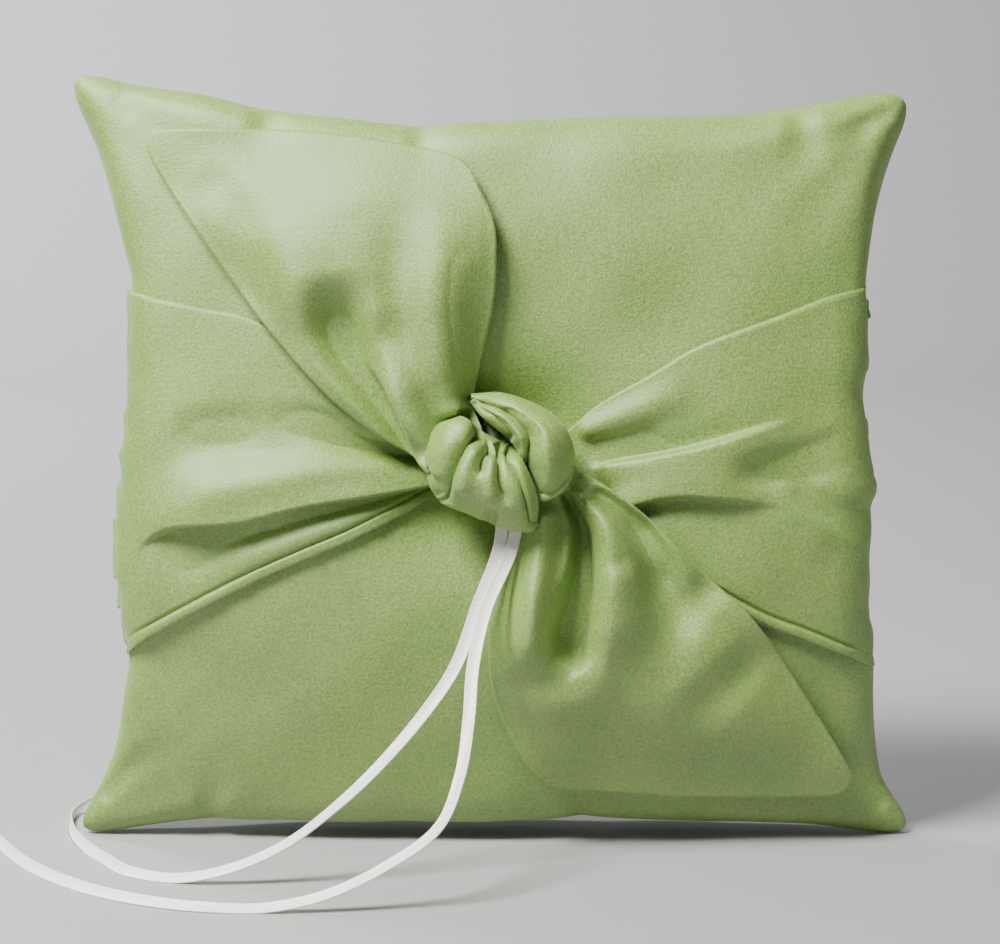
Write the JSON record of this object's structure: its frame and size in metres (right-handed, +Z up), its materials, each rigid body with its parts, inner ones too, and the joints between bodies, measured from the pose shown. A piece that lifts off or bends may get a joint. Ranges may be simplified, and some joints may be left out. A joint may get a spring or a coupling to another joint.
{
  "type": "ring bearer pillow",
  "caption": "Square satin ring bearer pillow standing on its lower ears, with a sash from each side tied in a knot at the front and two narrow ribbons to hold rings.",
  "frame": {"origin": "on the floor under the middle of the standing pillow", "axes": "+Z up, the knot faces -Y, +X is to the right seen from the front"},
  "size_m": [0.2369, 0.1239, 0.1844],
  "materials": {
    "satin": "lime green matte duchess satin, polyester, soft sheen",
    "ribbon": "white single-face satin ribbon with woven edges",
    "thread": "matching green polyester sewing thread",
    "fibrefill": "white polyester fibrefill"
  },
  "bodies": {
    "pillow": {"front_panel": "satin", "back_panel": "satin", "filling": "fibrefill", "left_sash_face": "satin", "left_sash_lining": "satin", "right_sash_face": "satin", "right_sash_lining": "satin", "knot_left_turn": "satin", "knot_right_turn": "satin", "ribbon_fold": "ribbon", "ribbon_left": "ribbon", "ribbon_right": "ribbon", "closing_stitches": "thread", "knot_tack_stitches": "thread"},
    "upper_tail": {"upper_tail_face": "satin", "upper_tail_lining": "satin"},
    "lower_tail": {"lower_tail_face": "satin", "lower_tail_lining": "satin"}
  },
  "joints": [
    {"name": "upper_tail_lift", "type": "hinge", "parent": "pillow", "child": "upper_tail", "pos_m": [-0.01214, -0.02379, 0.11039], "axis": [0.7071, 0.0308, 0.7064], "range_deg": [0, 80], "stiffness_Nm_per_rad": 0.002, "springref_deg": -14.32},
    {"name": "lower_tail_lift", "type": "hinge", "parent": "pillow", "child": "lower_tail", "pos_m": [0.01614, -0.02503, 0.08213], "axis": [-0.7071, -0.0308, -0.7064], "range_deg": [0, 60], "stiffness_Nm_per_rad": 0.002, "springref_deg": -14.32}
  ]
}
